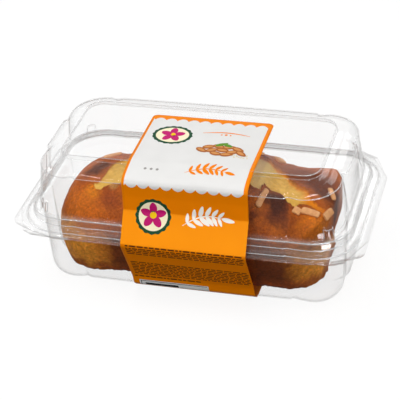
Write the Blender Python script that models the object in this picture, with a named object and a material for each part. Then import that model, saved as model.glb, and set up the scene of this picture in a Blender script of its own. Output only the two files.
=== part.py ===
"""Almond loaf cake in a shut clear clamshell pack with a wrap label.

Four solids: the tray, the lid that nests over the tray's stepped rim, the label that is
wrapped round the front of both, and the loaf with its almond slivers.
Sizes are in millimetres. X runs along the pack, -Y is its front, and Z = 0 is the surface
that it stands on. Y is measured from the middle of the shells, and moved by MIDDLE_Y when
the solids are made.
"""
import math
import random
from collections import namedtuple

import bmesh
import bpy
from mathutils import Matrix, Vector
from mathutils.bvhtree import BVHTree

MM = 0.001

# The shells' middle lies this far in front of the middle of the overall depth
MIDDLE_Y = -1.3

# Sheet and clearances
SHEET = 0.5
GAP = 0.3
PAPER = 0.3

# Grooves that part the corner columns from the middle of each wall
GROOVE_X = 63.6
GROOVE_Y = 16.5
GROOVE_IN = 1.8
GROOVE_OUT = 4.2
LONG_SIDE_BOW = 0.4

# Lugs on the lid's corners
LUG_ANGLE = 50.0
LUG_HALF_ANGLE = 8.5
LUG_PROUD = 2.4
LUG_TOP = 57.4

LID_ARC = (0, 10, 19, 27, 35, 41.5, 43, 46, 50, 54, 57, 58.5, 69, 80, 90)
TRAY_ARC = (0, 13, 27, 40, 55, 67, 78, 90)

Station = namedtuple(
    "Station", "half_x half_y radius z groove end_swell side_swell lug lift",
    defaults=(0.0, 0.0, 0.0, 0.0, 0.0))

# Outer face of the lid, from the edge of its raised top panel down to the rim
WALL_TOP = Station(89.6, 45.8, 19.0, 76.9, 1.8, 1.5, 0.4)
LID_CROWN = [
    Station(77.5, 31.3, 9.5, 83.4),
    Station(78.0, 31.8, 9.9, 80.9),
    Station(84.0, 38.2, 14.0, 80.3),
    Station(87.6, 42.9, 17.0, 79.4, 0.8, 0.6, 0.2),
    Station(88.9, 45.1, 18.6, 78.2, 1.8, 1.5, 0.4),
    WALL_TOP,
    Station(91.9, 46.9, 20.0, LUG_TOP + 0.2, 1.1, 0.5, 0.1),
    Station(91.9, 46.9, 20.0, LUG_TOP - 0.2, 1.1, 0.5, 0.1, LUG_PROUD),
    Station(92.9, 47.5, 20.0, 50.7, 0.7, 0.0, 0.0, LUG_PROUD),
]
LID_RIM = [
    Station(96.2, 50.3, 22.0, 50.5, 0.3),
    Station(96.8, 51.1, 22.5, 46.2, 0.6),
    Station(100.4, 54.5, 25.0, 46.0, 0.3),
    Station(101.0, 55.1, 25.5, 43.8, 0.6),
]
LIP_Z = 43.6

# Outer face of the tray, from its base up to the underside of its rim
BOTTOM_ROUND = 10.5
BASE_RADIUS = 6.0
TRAY_FLOOR_LIFT = 0.7
# Steps round the bottom edge: degrees up from level, share of the floor's lift, groove depth
BOTTOM_STEPS = [(90.0, 1.0, 0.8), (60.0, 0.5, 1.4), (30.0, 0.0, 1.8), (0.0, 0.0, 1.8)]
TRAY_WALL_LOW = (90.3, 45.2, 17.0)
TRAY_WALL_TOP = (91.9, 46.4, 19.0)
TRAY_TOP_GROOVE = 0.8
TRAY_END_SWELL = 1.6

# Lip outlines of one corner, from the middle of the end to the middle of the long side
LID_LIP = [(105.4, 0), (105.4, 33), (100, 46), (96, 55), (90, 58.4), (78, 59.3), (0, 59.3)]
TRAY_LIP_FRONT = [(105.9, 0), (105.9, 44.4), (103.7, 47.6), (98.1, 50.7), (89.3, 54.6),
                  (81.9, 56.7), (76, 59.3), (0, 59.3)]
TRAY_LIP_BACK = [(105.4, 0), (105.4, 35), (93, 56.5), (85, 62.4), (0, 62.5)]
LIP_CENTRE = (75.5, 29.6)

# Label
LABEL_LEFT = -33.8
LABEL_RIGHT = 40.75
LABEL_BACK = 20.1
LABEL_END = -8.0

# Loaf, measured at the widest part of its sides
LOAF_LEFT = -88.4
LOAF_RIGHT = 81.9
LOAF_HALF_DEPTH = 38.9
LOAF_CORNER = 27.1
LOAF_BASE = 1.5
LOAF_AROUND = 84
SPINE_LEFT = -51.6
SPINE_RIGHT = 59.2
CROWN = [(-88, 59.4), (-49, 57.5), (-36, 59), (0, 64.5), (25, 67), (38, 65.5), (46, 58.8),
         (54, 56.6), (84.3, 54.7)]
SPLIT_FRONT = [(-67, -21), (-59.5, -20), (-54, -16.5), (-45, -15.3), (34, -16.5), (43, -13),
               (47.5, -10.3), (51.5, -10.9), (61, -18.4), (76, -24), (80, -22.5)]
SPLIT_BACK = [(-67, -19), (-62, -12.5), (-56, -5), (-50, 1), (-30, 9), (20, 15), (33, 15.5),
              (48, 7), (55, 0), (64, -10.4), (73, -18), (80, -21)]
SPLIT_ENDS = (-68.0, 80.0)
SPLIT_FADE = 14.0
LIP_RISE = 0.9
LIP_REACH = 5.0
FLAP_RISE = 2.2
FLAP_REACH = 9.0
CRUMB_SINK = 1.4
CRUMB_LEVEL = -0.4

Side = namedtuple("Side", "wide_z inset bend power root")
LEFT_END = Side(22.9, 3.8, 1.5, 2.8, 0.54)
RIGHT_END = Side(47.9, 2.9, 1.4, 2.2, 0.33)
LONG_SIDE = Side(31.8, 6.5, 1.5, 2.14, 0.54)
END_REACH = 6.0
CROWN_EASE = 0.3
# Rings up the side: share of the way to the widest part, extra inset
SIDE_RINGS = [(0.0, 3.0), (0.035, 1.0), (0.12, 0.0), (0.35, 0.0), (0.65, 0.0), (1.0, 0.0)]
# Rings over the crown: share of the way to the spine
CROWN_RINGS = (0.03, 0.08, 0.15, 0.24, 0.34, 0.44, 0.55, 0.66, 0.78, 0.9, 1.0)

# Almond slivers: x, y, heading in degrees, length, width
SHOWN_SLIVERS = [
    (41.4, -20.1, 90, 14.3, 3.8),
    (62.7, -21.2, -30, 5.4, 4.2),
    (70.7, -21.6, -15, 11.5, 4.2),
    (80.3, -20.5, 73, 8.5, 4.4),
    (78.6, -1.6, -39, 10.8, 2.8),
]
MORE_SLIVERS = 16
SLIVER_THICK = 1.6
SLIVER_SINK = 0.7
SLIVERS_APART = 11.0
SCATTER_SEED = 4


def interpolate(table, x):
    """Value at x of a curve given by (x, value) pairs, with smooth steps between them."""
    if x <= table[0][0]:
        return table[0][1]
    for (x0, v0), (x1, v1) in zip(table, table[1:]):
        if x <= x1:
            t = (x - x0) / (x1 - x0)
            t = t * t * (3 - 2 * t) * 0.5 + t * 0.5
            return v0 + (v1 - v0) * t
    return table[-1][1]


def corner_points(station, arc):
    """Quarter of a ring, from the middle of the end to the middle of the long side."""
    hx, hy, r = station.half_x, station.half_y, station.radius
    end_x = hx + station.end_swell
    side_y = hy + station.side_swell
    points = [
        (end_x, 0.0),
        (end_x, GROOVE_Y - GROOVE_IN),
        (hx - station.groove, GROOVE_Y),
        (hx - station.groove * 0.2, GROOVE_Y + GROOVE_IN),
    ]
    for angle in arc:
        off = (angle - LUG_ANGLE) / LUG_HALF_ANGLE
        proud = station.lug * math.sqrt(max(0.0, 1.0 - off * off))
        a = math.radians(angle)
        points.append((hx - r + (r + proud) * math.cos(a), hy - r + (r + proud) * math.sin(a)))
    points += [
        (GROOVE_X + GROOVE_OUT, hy - station.groove * 0.3),
        (GROOVE_X, hy - station.groove),
        (GROOVE_X - GROOVE_IN, side_y),
        (GROOVE_X * 0.5, side_y + LONG_SIDE_BOW * 0.75),
        (0.0, side_y + LONG_SIDE_BOW),
    ]
    return points


def cast(start, way, outline):
    """First point of an open outline met from start along way."""
    for (ax, ay), (bx, by) in zip(outline, outline[1:]):
        ex, ey = bx - ax, by - ay
        det = way[0] * ey - way[1] * ex
        if abs(det) < 1e-9:
            continue
        dx, dy = ax - start[0], ay - start[1]
        along = (dx * ey - dy * ex) / det
        share = (dx * way[1] - dy * way[0]) / det
        if along > 0 and -1e-6 <= share <= 1 + 1e-6:
            return start[0] + way[0] * along, start[1] + way[1] * along
    raise ValueError("the outline isn't met")


def lip_points(outline, arc):
    """Quarter of a lip: the points of corner_points carried out to the lip's own outline."""
    cx, cy = LIP_CENTRE
    points = [cast((cx, y), (1, 0), outline)
              for y in (1e-4, GROOVE_Y - GROOVE_IN, GROOVE_Y, GROOVE_Y + GROOVE_IN)]
    for angle in arc:
        a = math.radians(angle)
        points.append(cast((cx, cy), (math.cos(a), math.sin(a)), outline))
    for x in (GROOVE_X + GROOVE_OUT, GROOVE_X, GROOVE_X - GROOVE_IN):
        points.append(cast((x, cy), (0, 1), outline))
    half_width = outline[-1][1]
    points.append((GROOVE_X * 0.5, half_width + LONG_SIDE_BOW * 0.75))
    points.append((0.0, half_width + LONG_SIDE_BOW))
    points[0] = (points[0][0], 0.0)
    return points


def full_ring(back, front, z, lift=0.0):
    """Whole ring, anticlockwise from +X, of a back and a front quarter mirrored across X = 0."""
    flat = list(back)
    flat += [(-x, y) for x, y in reversed(back[:-1])]
    flat += [(-x, -y) for x, y in front[1:]]
    flat += [(x, -y) for x, y in reversed(front[1:-1])]
    return [Vector((x, y, z + lift * middle_share(x))) for x, y in flat]


def middle_share(x):
    """1 in the middle of the pack, 0 from the corner columns out."""
    inner = GROOVE_X - GROOVE_IN
    outer = GROOVE_X + GROOVE_OUT
    return max(0.0, min(1.0, (outer - abs(x)) / (outer - inner)))


def station_ring(station, arc):
    quarter = corner_points(station, arc)
    return full_ring(quarter, quarter, station.z, station.lift)


def inset(stations, distance, first_way=(1.0, 0.0)):
    """Stations moved by a distance to the inner side of the profile, which ends in a flat lip."""
    ways = [first_way]
    for a, b in zip(stations, stations[1:]):
        way = (b.half_y - a.half_y, b.z - a.z)
        length = math.hypot(*way)
        ways.append((way[0] / length, way[1] / length) if length > 1e-6 else ways[-1])
    ways.append((1.0, 0.0))
    moved = []
    for station, before, after in zip(stations, ways, ways[1:]):
        out = -before[1] - after[1]
        up = before[0] + after[0]
        size = (out * out + up * up) / 2
        out, up = out * distance / size, up * distance / size
        moved.append(station._replace(
            half_x=station.half_x - out, half_y=station.half_y - out,
            radius=station.radius - out, z=station.z - up))
    return moved


def placed(point):
    """A point given in millimetres, moved into the pack's frame, in metres."""
    return Vector((point.x, point.y + MIDDLE_Y, point.z)) * MM


def mesh_object(name, rings, first_cap, last_cap, material):
    """Skin of closed rings, with a list of caps (faces of ring indices) on its first and last."""
    mesh = bpy.data.meshes.new(name)
    bm = bmesh.new()
    rows = [[bm.verts.new(placed(p)) for p in ring] for ring in rings]
    for low, high in zip(rows, rows[1:]):
        count = len(low)
        for i in range(count):
            j = (i + 1) % count
            bm.faces.new((low[i], low[j], high[j], high[i]))
    for cap in first_cap:
        bm.faces.new([rows[0][i] for i in cap])
    for cap in last_cap:
        bm.faces.new([rows[-1][i] for i in cap])
    bmesh.ops.recalc_face_normals(bm, faces=bm.faces)
    bm.to_mesh(mesh)
    bm.free()
    mesh.shade_smooth()
    mesh.set_sharp_from_angle(angle=math.radians(30))
    mesh.materials.append(material)
    obj = bpy.data.objects.new(name, mesh)
    bpy.context.scene.collection.objects.link(obj)
    return obj


def crosswise_caps(ring):
    """Faces that close a ring by joining the points of its long sides straight across."""
    reach = GROOVE_X + GROOVE_OUT + 0.01
    back = [i for i, p in enumerate(ring) if p.y > 0 and abs(p.x) < reach]
    front = [i for i, p in enumerate(ring) if p.y < 0 and abs(p.x) < reach]
    back.sort(key=lambda i: ring[i].x)
    front.sort(key=lambda i: ring[i].x)
    caps = [[front[k], front[k + 1], back[k + 1], back[k]] for k in range(len(back) - 1)]
    count = len(ring)
    caps.append(list(range(front[-1], count)) + list(range(0, back[-1] + 1)))
    caps.append(list(range(back[0], front[0] + 1)))
    return caps


def plain_material(name, colour, roughness, transmission=0.0):
    material = bpy.data.materials.new(name)
    material.use_nodes = True
    shader = material.node_tree.nodes["Principled BSDF"]
    shader.inputs["Base Color"].default_value = (*colour, 1.0)
    shader.inputs["Roughness"].default_value = roughness
    shader.inputs["Metallic"].default_value = 0.0
    shader.inputs["Transmission Weight"].default_value = transmission
    return material


def lid_rim_top():
    """Outer face of the lid's rim, from the foot of its wall outward."""
    return [LID_CROWN[-1]._replace(lug=0.0)] + LID_RIM


def make_lid(material):
    outer = LID_CROWN + LID_RIM
    inner = inset(outer, SHEET)
    roof = [i for i, s in enumerate(outer) if abs(s.z - LUG_TOP) < 1]
    for i in roof:
        inner[i] = inner[i]._replace(z=inner[i].z - SHEET)
    lip = lip_points(LID_LIP, LID_ARC)
    rings = [station_ring(s, LID_ARC) for s in outer]
    rings.append(full_ring(lip, lip, LIP_Z))
    rings.append(full_ring(lip, lip, LIP_Z - SHEET))
    rings += [station_ring(s, LID_ARC) for s in reversed(inner)]
    cap = [list(range(len(rings[0])))]
    return mesh_object("lid", rings, cap, cap, material)


def tray_wall(skin, top_z):
    """Face of the tray from its base up its wall, lying a skin's depth inside the outer face."""
    half_x, half_y, radius = TRAY_WALL_LOW
    turn = BOTTOM_ROUND - skin
    stations = []
    for angle, lift, groove in BOTTOM_STEPS:
        a = math.radians(angle)
        back = BOTTOM_ROUND - turn * math.cos(a)
        stations.append(Station(
            half_x - back, half_y - back, max(radius - back, BASE_RADIUS),
            BOTTOM_ROUND - turn * math.sin(a), groove, TRAY_END_SWELL, lift=lift * TRAY_FLOOR_LIFT))
    top_x, top_y, top_radius = TRAY_WALL_TOP
    stations.append(Station(top_x - skin, top_y - skin, top_radius - skin, top_z, TRAY_TOP_GROOVE))
    return stations


def make_tray(material):
    nest = SHEET + GAP
    rim_top = inset(lid_rim_top(), nest, (0.0, -1.0))[1:]
    rim_under = inset(lid_rim_top(), nest + SHEET, (0.0, -1.0))[1:]
    outside = tray_wall(0.0, rim_under[0].z)
    inside = tray_wall(SHEET, rim_top[0].z)
    lip_back = lip_points(TRAY_LIP_BACK, TRAY_ARC)
    lip_front = lip_points(TRAY_LIP_FRONT, TRAY_ARC)
    lip_z = LIP_Z - nest
    rings = [station_ring(s, TRAY_ARC) for s in outside + rim_under]
    rings.append(full_ring(lip_back, lip_front, lip_z - SHEET))
    rings.append(full_ring(lip_back, lip_front, lip_z))
    rings += [station_ring(s, TRAY_ARC) for s in reversed(inside + rim_top)]
    under, floor = crosswise_caps(rings[0]), crosswise_caps(rings[-1])
    return mesh_object("tray", rings, under, floor, material)


def label_path():
    """Inner face of the label, (y, z), from its back edge over the front to under the base."""
    top = LID_CROWN[0].z + GAP
    fold_y = -(LID_LIP[-1][1] + LONG_SIDE_BOW + GAP)
    under = TRAY_FLOOR_LIFT - GAP
    wall_y = -(WALL_TOP.half_y + WALL_TOP.side_swell + LONG_SIDE_BOW + GAP)
    return [
        (LABEL_BACK, top),
        (1.0 - LID_CROWN[0].half_y, top),
        (-38.5, 82.2),
        (-42.8, 81.2),
        (-45.6, 79.8),
        (wall_y - 0.2, 77.6),
        (wall_y - 0.4, 70.0),
        (-48.4, 60.6),
        (fold_y, LIP_Z + 0.4),
        (fold_y, LIP_Z - 2 * SHEET - GAP - 0.3),
        (-46.4, 11.5),
        (-45.0, 5.2),
        (-41.2, 1.3),
        (-36.0, under),
        (LABEL_END, under),
    ]


def make_label(material):
    path = [Vector(p) for p in label_path()]
    outer = []
    for i, point in enumerate(path):
        before = (point - path[i - 1]).normalized() if i else (path[1] - path[0]).normalized()
        after = (path[i + 1] - point).normalized() if i + 1 < len(path) else before
        side = Vector((before.y + after.y, -before.x - after.x))
        side *= PAPER * 2 / side.length_squared
        outer.append(point + side)
    outline = path + outer[::-1]
    rings = [[Vector((x, y, z)) for y, z in outline] for x in (LABEL_LEFT, LABEL_RIGHT)]
    count = len(path)
    caps = [[i, i + 1, 2 * count - 2 - i, 2 * count - 1 - i] for i in range(count - 1)]
    return mesh_object("label", rings, caps, caps, material)


def loaf_outline(count):
    """Points of the loaf's widest outline, evenly spaced, with the way in to its spine."""
    mid_x = (LOAF_LEFT + LOAF_RIGHT) / 2
    run_x = (LOAF_RIGHT - LOAF_LEFT) / 2 - LOAF_CORNER
    run_y = LOAF_HALF_DEPTH - LOAF_CORNER
    turn = LOAF_CORNER * math.pi / 2
    lengths = [run_y, turn, 2 * run_x, turn, 2 * run_y, turn, 2 * run_x, turn, run_y]
    total = sum(lengths)
    points = []
    for k in range(count):
        rest = total * k / count
        piece = 0
        while rest > lengths[piece]:
            rest -= lengths[piece]
            piece += 1
        corner = [(1, 1), (-1, 1), (-1, -1), (1, -1)][(piece // 2) % 4]
        if piece % 2:
            angle = rest / LOAF_CORNER + (piece // 2) * math.pi / 2
            x = corner[0] * run_x + LOAF_CORNER * math.cos(angle)
            y = corner[1] * run_y + LOAF_CORNER * math.sin(angle)
        else:
            x, y = {
                0: (run_x + LOAF_CORNER, rest),
                2: (run_x - rest, LOAF_HALF_DEPTH),
                4: (-run_x - LOAF_CORNER, run_y - rest),
                6: (rest - run_x, -LOAF_HALF_DEPTH),
                8: (run_x + LOAF_CORNER, rest - run_y),
            }[piece]
        points.append((x + mid_x, y))
    return points


def blended_side(x):
    """The loaf's side profile at x: its ends differ, and its long sides lie between."""
    right = max(0.0, min(1.0, (x - SPINE_RIGHT) / (LOAF_RIGHT - SPINE_RIGHT - END_REACH)))
    left = max(0.0, min(1.0, (SPINE_LEFT - x) / (SPINE_LEFT - LOAF_LEFT - END_REACH)))
    return Side(*(m + (r - m) * right + (l - m) * left
                  for m, r, l in zip(LONG_SIDE, RIGHT_END, LEFT_END)))


def split_relief(x, y):
    """Height that the split adds: crumb sunk behind the front crust, the back crust lifted."""
    front = interpolate(SPLIT_FRONT, x)
    back = interpolate(SPLIT_BACK, x)
    fade = min(1.0, max(0.0, min(x - SPLIT_ENDS[0], SPLIT_ENDS[1] - x) / SPLIT_FADE))
    if y < front:
        return fade * LIP_RISE * math.exp((y - front) / LIP_REACH)
    if y > back:
        return fade * FLAP_RISE * math.exp((back - y) / FLAP_REACH)
    t = (y - front) / (back - front)
    return fade * (CRUMB_LEVEL - CRUMB_SINK * (1 - t))


def uneven(x, y):
    """Gentle swells of a baked crust."""
    return (0.5 * math.sin(x / 9.0 + y / 14.0) + 0.4 * math.sin(x / 5.5 - y / 7.0 + 1.3)
            + 0.3 * math.sin(y / 4.5 + x / 16.0))


def loaf_rings():
    """Rings from the base of the loaf up its sides and over its crown to the spine."""
    outline = loaf_outline(LOAF_AROUND)
    rings = []
    for share, extra in SIDE_RINGS:
        ring = []
        for x, y in outline:
            side = blended_side(x)
            z = LOAF_BASE + share * (side.wide_z - LOAF_BASE)
            back = side.inset * (1 - share) ** side.bend + extra
            ring.append(toward_spine(x, y, back, z))
        rings.append(ring)
    for share in CROWN_RINGS:
        ring = []
        for x, y in outline:
            side = blended_side(x)
            spine_x = max(SPINE_LEFT, min(SPINE_RIGHT, x))
            px, py = x + (spine_x - x) * share, y * (1 - share)
            rise = (1 - (1 - share) ** side.power) ** side.root
            top = interpolate(CROWN, px)
            ease = min(1.0, share / CROWN_EASE)
            z = side.wide_z + (top - side.wide_z) * rise
            z += (split_relief(px, py) + uneven(px, py)) * ease
            ring.append(Vector((px, py, z)))
        rings.append(ring)
    return rings


def toward_spine(x, y, distance, z):
    """Point of the outline moved in towards the spine."""
    spine_x = max(SPINE_LEFT, min(SPINE_RIGHT, x))
    way = Vector((spine_x - x, -y))
    way.normalize()
    return Vector((x + way.x * distance, y + way.y * distance, z))


def sliver_places(tree):
    """Where each sliver lies: those that show, and a seeded scatter over the rest of the crown."""
    draw = random.Random(SCATTER_SEED)
    places = list(SHOWN_SLIVERS)
    while len(places) < len(SHOWN_SLIVERS) + MORE_SLIVERS:
        x = draw.uniform(-40, 34)
        y = draw.uniform(-30, 30)
        if len(places) > len(SHOWN_SLIVERS) + MORE_SLIVERS * 0.7:
            x = draw.uniform(-70, 74)
            y = draw.uniform(14, 30)
        clear = all(math.hypot(x - p[0], y - p[1]) > SLIVERS_APART for p in places)
        if clear:
            places.append((x, y, draw.uniform(0, 180), draw.uniform(8, 13), draw.uniform(3.2, 5.2)))
    for x, y, heading, length, width in places:
        point, normal, _, _ = tree.ray_cast(placed(Vector((x, y, 100))), Vector((0, 0, -1)))
        yield point, normal, math.radians(heading), length, width


def add_sliver(collection, number, point, normal, heading, length, width):
    """A flat almond sliver: a six-sided lozenge, bevelled along its upper edge."""
    bm = bmesh.new()
    half_l, half_w = length / 2, width / 2
    outline = [(-half_l, -half_w * 0.5), (-half_l * 0.6, -half_w), (half_l * 0.7, -half_w),
               (half_l, 0.0), (half_l * 0.6, half_w), (-half_l * 0.8, half_w)]
    low = [bm.verts.new(Vector((x, y, -SLIVER_SINK)) * MM) for x, y in outline]
    top = SLIVER_THICK - SLIVER_SINK
    high = [bm.verts.new(Vector((x * 0.9, y * 0.8, top)) * MM) for x, y in outline]
    bm.faces.new(low[::-1])
    bm.faces.new(high)
    for i in range(len(outline)):
        j = (i + 1) % len(outline)
        bm.faces.new((low[i], low[j], high[j], high[i]))
    mesh = bpy.data.meshes.new("sliver")
    bm.to_mesh(mesh)
    bm.free()
    along = Vector((math.cos(heading), math.sin(heading), 0.0))
    along = (along - normal * along.dot(normal)).normalized()
    turn = Matrix((along, normal.cross(along), normal)).transposed().to_4x4()
    mesh.transform(Matrix.Translation(point) @ turn)
    collection.objects.link(bpy.data.objects.new(f"sliver_{number}", mesh))


def make_cake(material):
    rings = loaf_rings()
    cap = [list(range(LOAF_AROUND))]
    cake = mesh_object("cake", rings, cap, [], material)
    bm = bmesh.new()
    bm.from_mesh(cake.data)
    bmesh.ops.remove_doubles(bm, verts=bm.verts, dist=0.00005)
    open_edges = [e for e in bm.edges if e.is_boundary]
    if open_edges:
        bmesh.ops.holes_fill(bm, edges=open_edges)
    bmesh.ops.triangulate(bm, faces=bm.faces)
    bmesh.ops.recalc_face_normals(bm, faces=bm.faces)
    tree = BVHTree.FromBMesh(bm)
    bm.to_mesh(cake.data)
    bm.free()
    slivers = bpy.data.collections.new("slivers")
    bpy.context.scene.collection.children.link(slivers)
    for number, place in enumerate(sliver_places(tree)):
        add_sliver(slivers, number, *place)
    union = cake.modifiers.new("fused slivers", "BOOLEAN")
    union.operation = "UNION"
    union.operand_type = "COLLECTION"
    union.collection = slivers
    union.solver = "EXACT"
    bpy.context.view_layer.objects.active = cake
    bpy.ops.object.modifier_apply(modifier=union.name)
    for obj in list(slivers.objects):
        bpy.data.objects.remove(obj)
    bpy.data.collections.remove(slivers)
    return cake


def main():
    for obj in list(bpy.data.objects):
        bpy.data.objects.remove(obj)
    clear_pet = plain_material("clear PET sheet", (0.92, 0.93, 0.93), 0.05, 0.9)
    paper = plain_material("printed label paper", (0.87, 0.29, 0.02), 0.4)
    crust = plain_material("baked crust", (0.32, 0.1, 0.03), 0.6)
    make_tray(clear_pet)
    make_lid(clear_pet)
    make_label(paper)
    make_cake(crust)


main()
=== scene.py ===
import math
import random

import bmesh
import bpy
import numpy as np
from mathutils import Matrix, Vector


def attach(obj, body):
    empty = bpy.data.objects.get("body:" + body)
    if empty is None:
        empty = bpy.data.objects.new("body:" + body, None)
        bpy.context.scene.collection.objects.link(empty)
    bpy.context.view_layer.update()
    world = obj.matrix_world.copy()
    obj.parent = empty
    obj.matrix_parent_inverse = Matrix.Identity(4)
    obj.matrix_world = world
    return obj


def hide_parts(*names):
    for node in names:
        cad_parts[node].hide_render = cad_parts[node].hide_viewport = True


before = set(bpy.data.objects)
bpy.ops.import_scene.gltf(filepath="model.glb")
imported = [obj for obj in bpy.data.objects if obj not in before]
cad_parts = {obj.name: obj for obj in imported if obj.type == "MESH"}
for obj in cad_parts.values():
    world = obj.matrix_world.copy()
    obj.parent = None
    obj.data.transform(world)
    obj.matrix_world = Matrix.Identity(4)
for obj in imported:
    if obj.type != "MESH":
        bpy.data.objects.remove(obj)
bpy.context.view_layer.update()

mm = 0.001
middleY = -1.3  # the shells' middle lies this far in front of the middle of the whole depth


def linear(code):
    # sRGB hex to linear: c / 12.92 below 0.04045, else ((c + 0.055) / 1.055) ^ 2.4
    c = np.array([int(code[i:i + 2], 16) for i in (0, 2, 4)]) / 255
    return np.where(c <= 0.04045, c / 12.92, ((c + 0.055) / 1.055) ** 2.4)


def paint(code):
    # The same with an alpha of 1, for a socket
    return (*linear(code), 1.0)


def addNode(tree, kind, settings=None):
    # settings: property or input -> value, or the output socket that feeds the input
    node = tree.nodes.new(kind)
    for name, value in (settings or {}).items():
        if isinstance(value, bpy.types.NodeSocket):
            tree.links.new(value, node.inputs[name])
        elif isinstance(name, str) and hasattr(node, name):
            setattr(node, name, value)
        else:
            node.inputs[name].default_value = value
    return node


def calculate(tree, operation, *values):
    # Result of one sum on sockets and numbers
    settings = {"operation": operation, **dict(enumerate(values))}
    return addNode(tree, "ShaderNodeMath", settings).outputs[0]


def ranged(tree, value, low, high, start=0.0, end=1.0):
    # low + (high - low) (value - start) / (end - start), held between low and high
    return addNode(tree, "ShaderNodeMapRange", {"Value": value, "From Min": start, "From Max": end,
                                                "To Min": low, "To Max": high}).outputs[0]


def noise(tree, where, cell, detail, roughness=0.5):
    # Noise over the object's own space, its cell in mm
    return addNode(tree, "ShaderNodeTexNoise", {
        "Vector": where.outputs["Object"], "Scale": 1 / (cell * mm), "Detail": detail,
        "Roughness": roughness}).outputs["Fac"]


def bumped(tree, height, strength, rise):
    # Normal of a surface raised by the height, rise in mm
    return addNode(tree, "ShaderNodeBump", {"Height": height, "Strength": strength,
                                            "Distance": rise * mm}).outputs[0]


def blended(tree, first, second, share):
    # Colour between two colours
    return addNode(tree, "ShaderNodeMix", {"data_type": "RGBA", 6: first, 7: second,
                                           0: share}).outputs[2]


def mixed(tree, share, first, second):
    # Shader between two shaders
    return addNode(tree, "ShaderNodeMixShader", {"Fac": share, 1: first.outputs[0],
                                                 2: second.outputs[0]})


def newMaterial(name):
    # Node material with its output alone: material, tree and the function that shows a shader
    material = bpy.data.materials.new(name)
    material.use_nodes = True
    tree = material.node_tree
    tree.nodes.clear()
    end = addNode(tree, "ShaderNodeOutputMaterial")
    return material, tree, lambda shader: tree.links.new(shader.outputs[0], end.inputs["Surface"])


def gridFaces(rows, columns, closed):
    # Quads between neighbouring rows and columns, the last column joined to the first if closed
    index = np.arange(rows * columns).reshape(rows, columns)
    nextColumn = np.roll(index, -1, axis=1)
    if not closed:
        index, nextColumn = index[:, :-1], nextColumn[:, :-1]
    quads = [index[:-1], nextColumn[:-1], nextColumn[1:], index[1:]]
    return np.stack(quads, axis=-1).reshape(-1, 4)


def putMesh(name, points, quads, material, colours=None):
    # Points in millimetres from the shells' middle become a mesh in metres in the frame
    placed = (np.asarray(points, float).reshape(-1, 3) + (0, middleY, 0)) * mm
    mesh = bpy.data.meshes.new(name)
    mesh.vertices.add(len(placed))
    mesh.vertices.foreach_set("co", placed.ravel())
    mesh.loops.add(quads.size)
    mesh.loops.foreach_set("vertex_index", quads.astype(np.int32).ravel())
    mesh.polygons.add(len(quads))
    mesh.polygons.foreach_set("loop_start", np.arange(0, quads.size, 4, dtype=np.int32))
    mesh.update(calc_edges=True)
    if colours is not None:
        layer = mesh.color_attributes.new("baked", "FLOAT_COLOR", "POINT")
        layer.data.foreach_set("color", colours.reshape(-1, 4).ravel())
    bm = bmesh.new()
    bm.from_mesh(mesh)
    bmesh.ops.remove_doubles(bm, verts=bm.verts, dist=2e-6)
    bm.to_mesh(mesh)
    bm.free()
    mesh.shade_smooth()
    mesh.materials.append(material)
    piece = bpy.data.objects.new(name, mesh)
    bpy.context.scene.collection.objects.link(piece)
    return piece


def valueNoise(points, cell, seed):
    # Random values at the corners of a cubic lattice, eased between them: -1 to 1
    lattice = np.random.default_rng(seed).uniform(-1, 1, (32, 32, 32))
    p = np.asarray(points) / cell
    low = np.floor(p).astype(int)
    t = p - low
    t = t * t * (3 - 2 * t)
    total = 0.0
    for corner in np.ndindex(2, 2, 2):
        weight = np.prod(np.where(np.array(corner) == 1, t, 1 - t), axis=-1)
        i = (low + corner) % 32
        total = total + weight * lattice[i[..., 0], i[..., 1], i[..., 2]]
    return total


def layeredNoise(points, layers):
    # Sum of height * noise over layers of (height, cell, seed)
    return sum(height * valueNoise(points, cell, seed) for height, cell, seed in layers)


def eased(value, low, high):
    # 0 at low, 1 at high, smooth between: t^2 (3 - 2t)
    t = np.clip((value - low) / (high - low), 0, 1)
    return t * t * (3 - 2 * t)


# Degrees and mm, azimuth from the front towards the right
view = dict(azimuth=18.26, elevation=33.91, roll=-4.97, distance=904.82, aim=(-2.88, 0.0, 38.09),
            lens=134.68, sensor=36, near=0.01, far=50)


def makeCamera():
    # At aim + back * distance with back = (sin az cos el, -cos az cos el, sin el), rolled round it
    az, el, roll = (math.radians(view[k]) for k in ("azimuth", "elevation", "roll"))
    back = Vector((math.sin(az) * math.cos(el), -math.cos(az) * math.cos(el), math.sin(el)))
    right = Vector((0, 0, 1)).cross(back).normalized()
    up = back.cross(right)
    across = right * math.cos(roll) + up * math.sin(roll)
    upward = up * math.cos(roll) - right * math.sin(roll)
    place = Vector(view["aim"]) + Vector((0, middleY, 0)) + back * view["distance"]
    data = bpy.data.cameras.new("camera")
    data.lens, data.sensor_width = view["lens"], view["sensor"]
    data.clip_start, data.clip_end = view["near"], view["far"]
    camera = bpy.data.objects.new("camera", data)
    camera.matrix_world = Matrix.Translation(place * mm) @ Matrix(
        (across, upward, back)).transposed().to_4x4()
    bpy.context.scene.collection.objects.link(camera)
    bpy.context.scene.camera = camera


# The set is white above and behind, and black below the camera, as with a flag; the matt
# surfaces get only a share of the set's light, and the key box does the rest
studio = dict(sky=0.62, behind=1.05, front=0.015, flagEdge=(0.15, 0.65), horizon=(-0.06, 0.1),
              matt=0.42, floor="626261", floorGlow=0.87, floorHalf=9000, floorDrop=0.05,
              clearLayers=40, bounces=12)
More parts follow.
